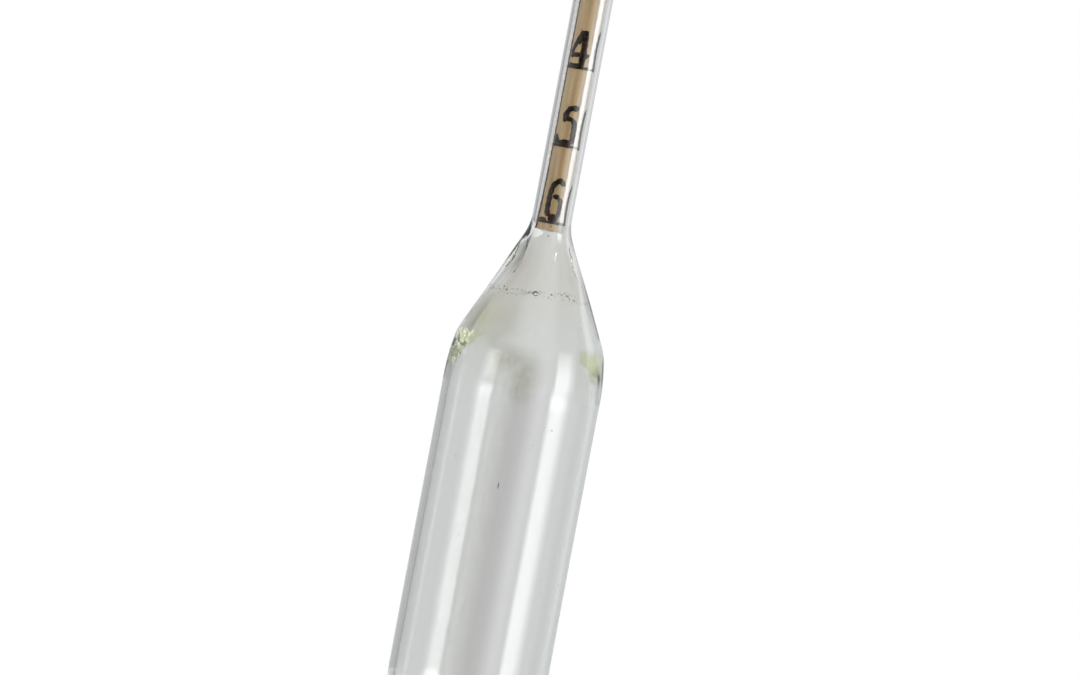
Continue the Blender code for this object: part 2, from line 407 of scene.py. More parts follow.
# Flakes in the glass that paint its glints and shade, facing -Y: across, height, half their width
# and length in millimetres, and how far their tops lean to the left in degrees.
# pale flakes: painted highlights, the glints of the thick glass at the left corner and in the neck
GLINT_FLAKES = [
    (-8.50, 3.20, 0.44, 0.60, 15), (-7.95, 3.20, 0.42, 0.72, 35), (-7.30, 3.30, 0.46, 0.16, 68),
    (-7.80, 2.45, 0.26, 0.60, 32), (-8.35, 2.40, 0.24, 0.60, 25), (-9.05, 2.75, 0.18, 0.50, 8),
    (-8.60, 1.50, 0.18, 0.45, 22), (1.10, 14.50, 0.13, 0.60, -4),
]
# dark flakes: painted shade, the dark streaks at the neck's edges and between the glints of the
# left corner
SHADE_FLAKES = [
    (-8.66, 2.70, 0.06, 0.40, 14), (-8.72, 2.15, 0.07, 0.32, 8), (-3.30, 15.75, 0.06, 0.45, -13),
    (-3.47, 15.05, 0.10, 0.45, -14), (-3.65, 14.30, 0.10, 0.45, -16),
    (-3.85, 13.65, 0.13, 0.40, -20), (-4.08, 13.10, 0.13, 0.40, -25),
    (-4.35, 12.60, 0.10, 0.40, -30), (-4.58, 12.25, 0.06, 0.30, -35),
    (2.62, 15.80, 0.07, 0.35, 22), (2.80, 15.35, 0.07, 0.30, 24), (2.95, 15.05, 0.05, 0.30, 20),
    (3.75, 12.98, 0.04, 0.35, 33), (4.10, 12.45, 0.035, 0.40, 36),
    (4.42, 12.05, 0.025, 0.30, 38),
]
# olive flakes: the green of the thick glass, with painted shade under the glints
OLIVE_SHADE_FLAKES = [
    (-8.30, 2.55, 0.85, 1.10, 30), (-7.15, 2.95, 0.45, 0.26, 45), (3.05, 14.60, 0.14, 0.50, 16),
    (3.27, 13.90, 0.16, 0.50, 18), (3.50, 13.35, 0.12, 0.40, 22), (-9.15, 0.80, 0.24, 0.50, 8),
    (-8.85, 1.10, 0.18, 0.40, 25), (-9.45, 0.10, 0.16, 0.70, 0),
]


SHALLOW, DEEPER = 0.22, 0.38  # depths of the flakes under the surface
FLAKE_THICK = 0.04


def flakes(name, table, depth, material):
    """Thin leaves that follow the wall, some way under its surface."""
    found = []
    for across, height, width, length, slope in table:
        leaf, faces = bubble((0, 0, 0), (width, FLAKE_THICK, length))
        x, thick, z = (leaf @ np.array(Matrix.Rotation(math.radians(-slope), 3, "Y")).T).T
        deep = outside_at(z + height) - depth - thick
        x = np.clip(x + across, -0.995 * deep, 0.995 * deep)
        leaf = np.column_stack([x, -np.sqrt(deep**2 - x**2), z + height])
        found.append((leaf, turned_over(faces)))
    mesh_piece(name, *joined(found), material, "glass")


def glass_envelope(material):
    """The whole glass as one piece: its two skins, and the bubbles between them."""
    outside = respaced(glass_outside(), COARSE, FINE, FINE_FROM, NECK + 2)
    inside = respaced(glass_inside(), COARSE, FINE, FINE_FROM, NECK + 2)
    skins = [turned_skin(outside, outer_radius, False), turned_skin(inside, inner_radius, True)]
    made = mesh_piece("glass_envelope", *joined(skins + bubbles()), material, "glass")
    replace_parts(made, "stem_tube", "float_body", "ballast_bulb")


# The paper scale and its ink.


def roll_radius(angle, height):
    """Radius of the roll's outer face. Angles run from the seam, once round and a little more."""
    share = (angle - PAPER_SEAM) / (TAU * PAPER_TURNS)
    loose = 0.24 * bump(turn_to(angle, 3.35), 0, 0.55) * bump(height, STRIP_LOW - 0.5, 4.5)
    return PAPER_R - PAPER_PITCH * PAPER_TURNS * (1 - share) + loose


def paper_roll(material):
    """A strip cut by hand, so that its ends aren't quite square, rolled a little over one turn."""
    angles = np.linspace(PAPER_SEAM, PAPER_SEAM + TAU * PAPER_TURNS, 150)
    rows = np.linspace(0, 1, 90)
    low = STRIP_LOW + 0.02 - 0.06 * np.cos(angles) + 0.02 * np.sin(9 * angles)
    high = STRIP_HIGH - 0.08 - 0.08 * np.sin(angles) + 0.02 * np.sin(7 * angles)
    heights = low + rows[:, None] * (high - low)
    cockle = 0.012 * np.sin(0.45 * heights + 3 * angles) - 0.012
    faces_out = []
    across = len(angles)
    for row in range(len(rows) - 1):
        for i in range(across - 1):
            a, b = row * across + i, row * across + i + 1
            faces_out.append((a, b, b + across, a + across))
    verts = []
    for depth in (0, PAPER):
        radii = roll_radius(angles, heights) + cockle - depth
        sheet = np.stack([radii * np.cos(angles), radii * np.sin(angles), heights], -1)
        verts.append(sheet.reshape(-1, 3))
    count = len(verts[0])
    faces_in = [tuple(i + count for i in face[::-1]) for face in faces_out]
    rim = [*range(across), *range(2 * across - 1, count, across)]
    rim += [*range(count - 2, count - across - 1, -1), *range(count - 2 * across, 0, -across)]
    sides = [(a, a + count, b + count, b) for a, b in zip(rim, rim[1:] + rim[:1])]
    verts = leaned(np.concatenate(verts))
    made = mesh_piece("paper_roll", verts, faces_out + faces_in + sides, material, "paper")
    made.data.set_sharp_from_angle(angle=math.radians(50))
    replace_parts(made, "scale_strip")


def on_paper(across, height, lift):
    """A point of the roll's face: across is measured round it from the front, to the right."""
    angle = FRONT + TAU + np.asarray(across) / (PAPER_R - 0.10)
    radius = roll_radius(angle, np.asarray(height)) + lift
    return np.stack([radius * np.cos(angle), radius * np.sin(angle), np.asarray(height)], -1)


def pen_stroke(points, width, phase):
    """A closed ribbon of ink along a path, with round ends and the wobble of a hand."""
    path = smooth_path(points, 0.06)
    along = lengths_along(path)
    ahead = np.gradient(path, axis=0)
    ahead /= np.linalg.norm(ahead, axis=1)[:, None]
    aside = np.column_stack([-ahead[:, 1], ahead[:, 0]])
    half = width / 2
    from_end = np.minimum(along, along[-1] - along)
    end = np.sqrt(1 - np.clip(1 - from_end / half, 0, 0.98) ** 2)
    wobble = 1 + 0.10 * np.sin(7.0 * along + phase) + 0.06 * np.sin(17.0 * along + 2.3 * phase)
    reach = (half * end * wobble)[:, None] * aside
    steps = np.linspace(1, -1, PEN_STEPS)
    flat = path[:, None] + steps[:, None] * reach[:, None]
    under = on_paper(flat[..., 0], flat[..., 1], INK_LIFT)
    over = on_paper(flat[..., 0], flat[..., 1], INK_LIFT + INK_THICK)[:, ::-1]
    verts = np.concatenate([under, over], axis=1).reshape(-1, 3)
    loop = 2 * PEN_STEPS
    faces = [tuple(range(loop)), tuple(len(verts) - 1 - i for i in range(loop))]
    for start in range(0, len(verts) - loop, loop):
        for i in range(loop):
            j = (i + 1) % loop
            faces.append((start + i, start + i + loop, start + j + loop, start + j))
    return verts, faces


# Each figure is strokes of (width, points), in millimetres from the foot of its middle.
FIGURES = {
    0: [
        (0.44, [
            (-0.35, 4.85), (-0.80, 4.3), (-0.98, 3.4), (-1.1, 2.2), (-0.98, 1.1), (-0.85, 0.1),
        ]),
        (0.38, [
            (-0.75, 0.1), (0.25, 0.2), (0.85, 1.2), (1.0, 2.7), (0.7, 4.2), (0.1, 4.9),
            (-0.35, 4.85),
        ]),
    ],
    1: [
        (0.58, [(0.05, 4.8), (0.1, 2.6), (0.0, 0.1)]),
        (0.35, [(0.05, 4.7), (-0.3, 4.2), (-0.7, 3.8)]),
    ],
    2: [
        (0.50, [
            (-0.8, 3.7), (-0.6, 4.5), (0.0, 4.8), (0.5, 4.3), (0.4, 3.2), (-0.3, 1.7), (-0.85, 0.5),
        ]),
        (0.55, [(-0.85, 0.5), (0.0, 0.45), (0.75, 0.5)]),
    ],
    3: [
        (0.50, [(-0.8, 4.4), (0.0, 4.85), (0.5, 4.2), (0.25, 3.2), (-0.3, 2.8)]),
        (0.52, [(-0.3, 2.8), (0.45, 2.4), (0.65, 1.4), (0.2, 0.4), (-0.75, 0.4)]),
    ],
    4: [
        (0.58, [(-0.02, 4.7), (0.05, 3.9), (0.12, 2.6), (0.12, 1.4), (0.10, 0.1)]),
        (0.60, [(-0.08, 4.6), (-0.12, 4.2), (-0.10, 3.7)]),
        (0.46, [(-0.20, 4.5), (-0.38, 3.8), (-0.60, 3.2), (-0.80, 2.9)]),
        (0.40, [(-0.25, 4.6), (-0.55, 4.0), (-0.90, 3.2), (-1.2, 2.4), (-1.42, 1.6)]),
        (0.44, [(-1.55, 1.3), (-0.9, 1.5), (-0.2, 1.55), (0.4, 1.5), (0.9, 1.65)]),
        (0.62, [(0.1, 1.5), (0.45, 1.5), (0.75, 1.55)]),
        (0.50, [(-1.7, 0.15), (-0.9, 0.12), (0.3, 0.12)]),
        (0.60, [(-0.15, 0.3), (0.1, 0.25), (0.35, 0.3)]),
    ],
    5: [
        (0.56, [(-0.42, 4.45), (-0.1, 4.7), (0.35, 4.8), (0.88, 4.72)]),
        (0.56, [(-0.25, 4.6), (-0.5, 4.1), (-0.72, 3.3)]),
        (0.60, [(-0.90, 3.2), (-0.6, 3.25), (-0.4, 3.3)]),
        (0.44, [(-0.5, 3.35), (-0.1, 3.4), (0.3, 3.3), (0.6, 3.0)]),
        (0.56, [(0.45, 3.2), (0.68, 2.7), (0.74, 1.9), (0.72, 1.0), (0.62, 0.3)]),
        (0.60, [(-0.85, 0.30), (-0.1, 0.38), (0.7, 0.38)]),
        (0.42, [(-1.45, 1.35), (-1.38, 0.8), (-1.5, 0.2)]),
        (0.36, [(-1.1, 0.95), (-1.2, 0.5), (-1.2, 0.2)]),
        (0.34, [(-1.55, 0.55), (-1.0, 0.45), (-0.6, 0.3)]),
    ],
    6: [
        (0.52, [
            (0.82, 4.75), (0.55, 5.15), (0.2, 5.3), (-0.2, 5.0), (-0.5, 4.5), (-0.68, 3.6),
            (-0.72, 2.6), (-0.70, 1.4), (-0.45, 0.7),
        ]),
        (0.46, [(-0.3, 3.25), (0.1, 3.3), (0.5, 3.15)]),
        (0.38, [(0.45, 3.2), (0.68, 2.8), (0.74, 2.1), (0.70, 1.2), (0.5, 0.6)]),
        (0.60, [(-0.45, 0.55), (0.15, 0.45), (0.75, 0.5)]),
        (0.50, [(-0.25, 0.95), (0.1, 0.8), (0.45, 0.9)]),
        (0.42, [(-1.7, 0.2), (-1.2, 0.25), (-0.6, 0.2)]),
    ],
}
FIGURE_AT, ZERO_AT = -0.08, 2.84  # middles of a figure and of the 0 after it
BOLD = 1.28  # how much wider the pen wrote than the widths above
RULE_WIDTH, RULE_TO = 0.38, 4.5
TICK_WIDTH = 0.14
TICK_TENS, TICK_FIVES, TICK_ONES = 0.9, 0.7, 0.45
SPINE_AT, SPINE_DRIFT = -2.02, 0.003


def spine_at(height):
    """The upright line drifts to the right as it rises, because the roll is twisted."""
    return SPINE_AT + SPINE_DRIFT * (height - STRIP_LOW)


def scale_height(points_over):
    """Height of the line for a density of 1 + points_over / 1000, from the float's mass."""
    density = 1 + points_over / 1000
    return -SHOULDER - 10 * MASS / STEM_AREA * (1 - 1 / density)


def scale_ink(material):
    """A rule and figures every ten points, a spine, and a tick for each point left of it."""
    strokes = []
    for tens in range(7):
        foot = scale_height(10 * tens)
        slant = 0.06 * math.sin(3 * tens + 1)
        start = spine_at(foot)
        rule = [(start, foot - slant), (0, foot - 0.03), (RULE_TO, foot + slant)]
        strokes.append((RULE_WIDTH, rule))
        figures = [(tens, FIGURE_AT), (0, ZERO_AT)] if tens else [(0, FIGURE_AT)]
        for figure, middle in figures:
            for width, points in FIGURES[figure]:
                strokes.append((BOLD * width, [(x + middle, y + foot) for x, y in points]))
    upper = np.linspace(STRIP_LOW + 8, scale_height(0), 7)
    heights = [STRIP_LOW + 0.15, STRIP_LOW + 4.5, *upper]
    for order, (low, high) in enumerate(zip(heights, heights[1:])):
        width = max(0.50 - 0.14 * order, 0.22)
        strokes.append((width, [(spine_at(low), low - 0.1), (spine_at(high), high + 0.1)]))
    for point in range(61):
        length = TICK_TENS if point % 10 == 0 else TICK_FIVES if point % 5 == 0 else TICK_ONES
        foot = scale_height(point)
        start = spine_at(foot)
        strokes.append((TICK_WIDTH, [(start, foot), (start - length, foot)]))
    ribbons = [pen_stroke(points, width, 1.7 * i) for i, (width, points) in enumerate(strokes)]
    verts, faces = joined(ribbons + ink_spots())
    mesh_piece("scale_ink", leaned(verts), faces, material, "paper")


def ink_spots():
    """Spatters of ink below the last line."""
    spots = [(0.0, 18.15, 0.22), (0.22, 17.6, 0.16), (-0.5, 17.9, 0.08), (0.45, 17.8, 0.07)]
    return [
        pen_stroke([(x, y), (x + size * 0.3, y + 0.02), (x + size * 0.6, y)], size, x)
        for x, y, size in spots
    ]


# The shot and the wax.


def pellet(name, number, material):
    """A cast ball of lead, dented where others pressed it and rough from its mould."""
    low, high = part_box(name)
    random = np.random.default_rng(SEED + number)
    dents = random.normal(size=(5, 3))
    dents /= np.linalg.norm(dents, axis=1)[:, None]
    depths = random.uniform(0.02, 0.06, 5)
    shift = Vector(random.uniform(-50, 50, 3))

    def dented(way):
        rough = 0.014 * noise.noise(way * 3.1 + shift) + 0.006 * noise.noise(way * 11 + shift)
        radius = 0.985 + rough
        for dent, depth in zip(dents, depths):
            flat = (1 - depth) / max(way.dot(Vector(dent)), 1e-3)
            radius = min(radius, flat)
        return way * radius * PELLET_R * MM + (low + high) / 2

    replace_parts(ball_piece(name + "_lead", 4, dented, material), name)


def poured_wax(material):
    """Wax run over the shot: it wets the glass, climbs it at the edge and sinks in the middle."""
    low, high = (corner.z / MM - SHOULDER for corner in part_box("shot_wax_seal"))
    bore = glass_inside()
    bore = bore[bore[:, 1] < BULB_TOP + 1][::-1]
    heights = np.linspace(high, low, 26)
    radii = np.interp(heights, bore[:, 1], bore[:, 0]) - 0.14
    around = 96
    angles = np.arange(around) * TAU / around
    rows = []
    for share in np.linspace(0.04, 0.97, 12):
        dip = 0.55 * (1 - share**2.5)
        ripple = 0.05 * share * np.sin(5 * angles + 6 * share) + 0.03 * np.sin(3 * angles + 1)
        ripple *= 3 * share * (1 - share)
        rows.append((radii[0] * share * np.ones(around), high - 0.06 - dip + ripple))
    for radius, height in zip(radii, heights):
        rows.append((radius * np.ones(around), height * np.ones(around)))
    for share in np.linspace(0.96, 0.04, 10):
        lumps = 0.12 * np.sin(7 * angles + 9 * share) * np.sin(3 * angles)
        rows.append((radii[-1] * share * np.ones(around), low + 0.02 + np.abs(lumps) * (1 - share)))
    verts = [np.stack([r * np.cos(angles), r * np.sin(angles), z], -1) for r, z in rows]
    verts = np.concatenate([*verts, [[0, 0, high - 0.62], [0, 0, low + 0.02]]])
    faces = skin_faces(len(rows), around)
    made = mesh_piece("poured_wax", verts, faces, material, "sealing_wax")
    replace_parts(made, "shot_wax_seal")


def wax_drop(material):
    """A drop pressed into the roll: a lumpy bead with a sagging skirt."""
    low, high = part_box("scale_wax_dab")
    size = (high - low) / 2

    def sagged(way):
        radius = 0.94 + 0.05 * noise.noise(way * 2.3) + 0.02 * noise.noise(way * 7.0)
        sag = 1 - 0.16 * max(way.z, 0)
        reach = Vector((way.x * size.x * sag, way.y * size.y * sag, way.z * size.z))
        return reach * radius + (low + high) / 2

    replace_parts(ball_piece("wax_drop", 5, sagged, material), "scale_wax_dab")


# Materials.


class Nodes:
    """A node tree, with short ways to add and link nodes."""

    def __init__(self, tree):
        self.tree = tree
        tree.nodes.clear()

    def add(self, kind, inputs=None, **settings):
        node = self.tree.nodes.new(kind)
        for key, value in settings.items():
            setattr(node, key, value)
        for key, value in (inputs or {}).items():
            self.put(node.inputs[key], value)
        return node

    def put(self, socket, value):
        if isinstance(value, bpy.types.NodeSocket):
            self.tree.links.new(value, socket)
        else:
            socket.default_value = value

    def math(self, operation, *values):
        inputs = dict(enumerate(values))
        return self.add("ShaderNodeMath", inputs, operation=operation).outputs[0]

    def plus(self, one, other):
        return self.math("ADD", one, other)

    def times(self, one, other):
        return self.math("MULTIPLY", one, other)

    def largest(self, first, *others):
        for other in others:
            first = self.math("MAXIMUM", first, other)
        return first

    def ramp(self, value, start, end, low=0.0, high=1.0):
        inputs = {0: value, 1: start, 2: end, 3: low, 4: high}
        return self.add("ShaderNodeMapRange", inputs, interpolation_type="SMOOTHSTEP").outputs[0]

    def mixed(self, share, one, other):
        inputs = {0: share, 6: one, 7: other}
        return self.add("ShaderNodeMix", inputs, data_type="RGBA").outputs[2]

    def place(self, scale=(1, 1, 1)):
        """Object coordinates in millimetres from the shoulder, scaled."""
        where = self.add("ShaderNodeTexCoord").outputs["Object"]
        scaled = [value / MM for value in scale]
        offset = (0, 0, -SHOULDER * scale[2])
        return self.add("ShaderNodeMapping", {0: where, 1: offset, 3: scaled}).outputs[0]

    def apart(self, where):
        return self.add("ShaderNodeSeparateXYZ", {0: where}).outputs

    def length(self, where):
        return self.add("ShaderNodeVectorMath", {0: where}, operation="LENGTH").outputs["Value"]

    def noise(self, where, scale, detail=2.0, roughness=0.5):
        inputs = {"Vector": where, "Scale": scale, "Detail": detail, "Roughness": roughness}
        return self.add("ShaderNodeTexNoise", inputs).outputs[0]

    def blob(self, centre, size, sharp=0.0):
        """1 at a place in the object, falling to 0 at the edge of a soft ellipsoid."""
        scale = [1 / value for value in size]
        middle = [value * part for value, part in zip(centre, scale)]
        inputs = {0: self.place(scale), 1: middle}
        gap = self.add("ShaderNodeVectorMath", inputs, operation="DISTANCE")
        return self.ramp(gap.outputs["Value"], sharp, 1.0, 1.0, 0.0)

    def surface(self, tone, rough, height, depth, strength=0.5, others=None):
        """A principled shader, with bumps of some depth in millimetres."""
        inputs = {"Strength": strength, "Distance": depth * MM, "Height": height}
        normal = self.add("ShaderNodeBump", inputs).outputs[0]
        inputs = {"Base Color": tone, "Roughness": rough, "Normal": normal, **(others or {})}
        return self.add("ShaderNodeBsdfPrincipled", inputs)

    def see_through(self, share, shader):
        """The shader, giving way to plain transparency by a share."""
        clear = self.add("ShaderNodeBsdfTransparent").outputs[0]
        return self.add("ShaderNodeMixShader", {0: share, 1: shader.outputs[0], 2: clear})


def new_material(name):
    made = bpy.data.materials.new(name)
    made.use_nodes = True
    return made, Nodes(made.node_tree)


def finish(nodes, shader):
    out = nodes.add("ShaderNodeOutputMaterial")
    nodes.put(out.inputs["Surface"], shader.outputs[0])
    return out


# Tints of the glass, several of them painted highlights and painted shade.
CLEAR = (1.0, 1.0, 1.0, 1)
OLIVE = (0.72, 0.75, 0.50, 1)
# the thick glass's green, darkened as painted shade on the right of the corner
DEEP_OLIVE_SHADE = (0.55, 0.59, 0.33, 1)
# painted highlight: a near-clear tint for the glints in the thick glass of the left corner
MINT_HIGHLIGHT = (0.96, 0.98, 0.86, 1)
# painted shade: dark green at the two limbs of the corner
LIMB_SHADE_GREEN = (0.70, 0.75, 0.66, 1)
# painted shade along the left side of the bore down the neck
BORE_SHADE = (0.66, 0.58, 0.49, 1)
# painted shade, and a film wiped in streaks over the cone
FILM_AND_SHADE = (0.86, 0.86, 0.78, 1)
# painted shade on the front left of the cone
CONE_FRONT_SHADE = (0.84, 0.83, 0.76, 1)
# painted shade on the left of the cone
LEFT_CONE_SHADE = (0.86, 0.83, 0.69, 1)
# warm brown of the glass, darkened as painted shade on the left of the neck
BROWN_TINT_AND_SHADE = (0.84, 0.76, 0.65, 1)
SMOKED = (0.975, 0.955, 0.93, 1)
# painted shade, mottled, just under the shoulder
SHADE_UNDER_SHOULDER = (0.73, 0.715, 0.64, 1)
GLASS_SPECK = (0.55, 0.52, 0.45, 1)
DEPTH_TINT, DEPTH_DENSITY = (0.40, 0.66, 0.32, 1), 24.0


def corner_share(nodes):
    """1 in the thick glass under the corner, above a line that falls outward on each side."""
    x, y, z = nodes.apart(nodes.place())
    left = nodes.times(x, -1.0)
    right = nodes.times(nodes.plus(nodes.times(x, 0.62), 3.15), nodes.ramp(x, 5.4, 6.6))
    wander = nodes.times(nodes.noise(nodes.place(), 0.8, 2.0), 0.4)
    line = nodes.plus(nodes.plus(nodes.largest(left, right), z), wander)
    above = nodes.times(nodes.ramp(line, 9.35, 9.60), nodes.ramp(z, 4.2, 3.2))
    outside = nodes.ramp(nodes.length(nodes.place((1, 1, 0))), 9.10, 9.20)
    return nodes.times(nodes.times(above, outside), nodes.ramp(y, 0.2, -1.2))


def corner_wash(nodes, feather):
    """Olive, with mint feathers on the left that paint highlights and a deeper olive on the right
    that paints shade.
    """
    left = nodes.blob((-8.8, 0, 2.2), (3.4, 6.5, 2.6), 0.5)
    wash = nodes.mixed(nodes.times(left, nodes.ramp(feather, 0.36, 0.48)), OLIVE, MINT_HIGHLIGHT)
    return nodes.mixed(nodes.blob((8.7, -2.0, 1.2), (2.3, 6.0, 1.9), 0.2), wash, DEEP_OLIVE_SHADE)


def bore_shade_share(nodes):
    """1 in a soft band of painted shade that follows the bore's left side down the neck."""
    x, y, z = nodes.apart(nodes.place())
    down = nodes.math("SUBTRACT", 15.5, z)
    aside = nodes.times(down, nodes.plus(nodes.times(down, 0.036), 0.155))
    gap = nodes.math("ABSOLUTE", nodes.plus(x, nodes.plus(aside, 2.05)))
    band = nodes.times(nodes.ramp(gap, 1.0, 0.10), nodes.ramp(y, 0.0, -0.4))
    return nodes.times(band, nodes.blob((-5.0, -3.0, 10.2), (6.0, 9.0, 7.4), 0.5))


def film_and_shade_share(nodes):
    """Painted shade, mottled, inside the shoulder, over the left highlight's top and down the front
    of the body, with a film wiped in streaks over the cone.
    """
    wiped = nodes.noise(nodes.place((2.0, 2.0, 0.55)), 1.0, 3.0, 0.6)
    wiped = nodes.ramp(wiped, 0.45, 0.62, 0.0, 0.30)
    shade_and_film = nodes.largest(
        nodes.blob((-2.9, -6.9, 6.2), (1.9, 3.5, 4.2)),
        nodes.blob((-0.5, -9.4, -2.4), (2.0, 2.5, 3.2)),
        nodes.times(nodes.blob((-2.2, -9.8, -24.0), (2.5, 3.5, 44.0), 0.2), 0.42),
        nodes.blob((-4.7, -8.2, 3.2), (1.6, 3.0, 1.9), 0.3),
        nodes.times(wiped, nodes.blob((0, -6.5, 7.5), (6.5, 6.0, 7.5), 0.5)),
    )
    mottle = nodes.noise(nodes.place((1.6, 1.6, 0.9)), 1.0, 4.0, 0.65)
    return nodes.times(shade_and_film, nodes.ramp(mottle, 0.32, 0.68, 0.25, 1.0))


def glass_tint(nodes):
    """Nearly clear, but olive where the corner is thick, with painted highlights and shade there,
    painted shade along the bore and over the cone and body, filmed and smoked inside, and specked.
    """
    feather = nodes.noise(nodes.place((1.6, 1.6, 0.9)), 1.0, 3.0, 0.65)
    # painted shade at the left and right limbs of the corner
    painted_shade = nodes.largest(
        nodes.blob((-9.2, -2, 0.7), (0.7, 5.0, 1.1), 0.2),
        nodes.blob((9.1, 0, 0.9), (1.2, 5.0, 0.8), 0.3),
    )
    # painted shade just under the shoulder
    shade_under_shoulder = nodes.largest(
        nodes.blob((0.0, -9.6, -0.7), (3.0, 4.5, 4.2)),
        nodes.blob((-1.9, -9.2, 1.0), (4.2, 4.5, 2.6)),
    )
    layers = [
        (corner_share(nodes), corner_wash(nodes, feather)),
        (bore_shade_share(nodes), BORE_SHADE),
        (nodes.times(painted_shade, 0.8), LIMB_SHADE_GREEN),
        (film_and_shade_share(nodes), FILM_AND_SHADE),
        (nodes.times(nodes.blob((-3.6, -6.5, 5.2), (3.6, 4.0, 4.6), 0.2), 0.6), CONE_FRONT_SHADE),
        (nodes.times(nodes.blob((-6.4, -3.0, 6.2), (5.2, 8.0, 6.0), 0.3), 0.8), LEFT_CONE_SHADE),
        (nodes.times(nodes.blob((-4.6, -1.5, 12.3), (2.1, 4.0, 5.0), 0.2), 0.7), BROWN_TINT_AND_SHADE),
        (nodes.times(nodes.blob((0, 0, 10), (10, 10, 8.5), 0.5), 0.7), SMOKED),
        (nodes.times(shade_under_shoulder, nodes.ramp(feather, 0.30, 0.50, 0.5, 1.0)), SHADE_UNDER_SHOULDER),
        (nodes.ramp(nodes.noise(nodes.place(), 3.4, 1.0), 0.735, 0.80, 0.0, 0.30), GLASS_SPECK),
    ]
    tint = CLEAR
    for share, colour in layers:
        tint = nodes.mixed(share, tint, colour)
    return tint


def glass_material():
    """Old soda glass: nearly clear, drawn in faint streaks, hazed and specked by age."""
    made, nodes = new_material("old_soda_glass")
    streaks = nodes.noise(nodes.place((2.2, 2.2, 0.035)), 1.0, 3.0, 0.6)
    ripples = nodes.noise(nodes.place((0.5, 0.5, 0.10)), 1.0, 2.0)
    height = nodes.plus(nodes.times(streaks, 0.05), nodes.times(ripples, 0.12))
    haze = nodes.noise(nodes.place((0.9, 0.9, 0.25)), 1.0, 4.0, 0.7)
    haze = nodes.ramp(haze, 0.45, 0.75, 0.015, 0.05)
    others = {"IOR": 1.5, "Transmission Weight": 1.0}
    shader = nodes.surface(glass_tint(nodes), haze, height, 0.1, others=others)
    shadow = nodes.add("ShaderNodeLightPath").outputs["Is Shadow Ray"]
    out = finish(nodes, nodes.see_through(shadow, shader))
    absorb = nodes.add("ShaderNodeVolumeAbsorption")
    absorb.inputs["Color"].default_value = DEPTH_TINT
    absorb.inputs["Density"].default_value = DEPTH_DENSITY
    nodes.put(out.inputs["Volume"], absorb.outputs[0])
    return made


# Deep and pale tones of the froth in each kind of flake, which paint the glints and the shade of
# thick glass.
GLINT_FROTH = (0.66, 0.69, 0.54, 1), (0.92, 0.94, 0.84, 1)
OLIVE_SHADE_FROTH = (0.28, 0.31, 0.22, 1), (0.44, 0.47, 0.36, 1)
SHADE_FROTH = (0.05, 0.06, 0.04, 1), (0.16, 0.18, 0.12, 1)
PAINTED_GLOW = 0.04  # painted glow: the pale flakes give off light of their own, for light scattered in them from all round


def froth_material(name, deep, pale, painted_glow=0.0):
    """Glass full of tiny bubbles: milky, mottled, and part see-through at its edges. Its copies are
    lit and shaded: they paint highlights, with a painted glow, and shade.
    """
    made, nodes = new_material(name)
    mottle = nodes.noise(nodes.place((2.2, 2.2, 1.2)), 1.0, 3.0, 0.6)
    tone = nodes.mixed(nodes.ramp(mottle, 0.38, 0.62), deep, pale)
    rough = nodes.ramp(mottle, 0.3, 0.7, 0.4, 0.8)
    others = {"Specular IOR Level": 0.1, "Emission Color": tone, "Emission Strength": painted_glow}
    shader = nodes.surface(tone, rough, mottle, 0.01, others=others)
    rim = nodes.add("ShaderNodeLayerWeight", {"Blend": 0.5}).outputs["Facing"]
    feather = nodes.noise(nodes.place((1.9, 1.9, 0.9)), 1.7, 4.0, 0.65)
    share = nodes.ramp(nodes.plus(nodes.times(rim, 0.3), feather), 0.46, 0.72, 0.05, 1.0)
    finish(nodes, nodes.see_through(share, shader))
    return made


SOOT = (0.03, 0.03, 0.025, 1), (0.16, 0.14, 0.09, 1)


def soot_material():
    """Soot and grit: nearly black, browner where it is thin."""
    made, nodes = new_material("soot")
    grit = nodes.noise(nodes.place(), 6.0, 3.0, 0.7)
    tone = nodes.mixed(nodes.ramp(grit, 0.35, 0.65), *SOOT)
    finish(nodes, nodes.surface(tone, nodes.ramp(grit, 0.3, 0.7, 0.7, 0.95), grit, 0.01))
    return made


BROWN_PAPER = (0.55, 0.38, 0.185, 1), (0.73, 0.55, 0.315, 1)
STAIN = (0.74, 0.53, 0.31, 1)
FIBRE = (0.36, 0.24, 0.13, 1)
FOXING = (0.27, 0.15, 0.07, 1)
CREASE = (0.44, 0.28, 0.13, 1)
# painted reflection: the paper paler and greyer to the right, under the lamp's reflection in the
# glass
PAINTED_REFLECTION_TONE = (0.62, 0.59, 0.53, 1)


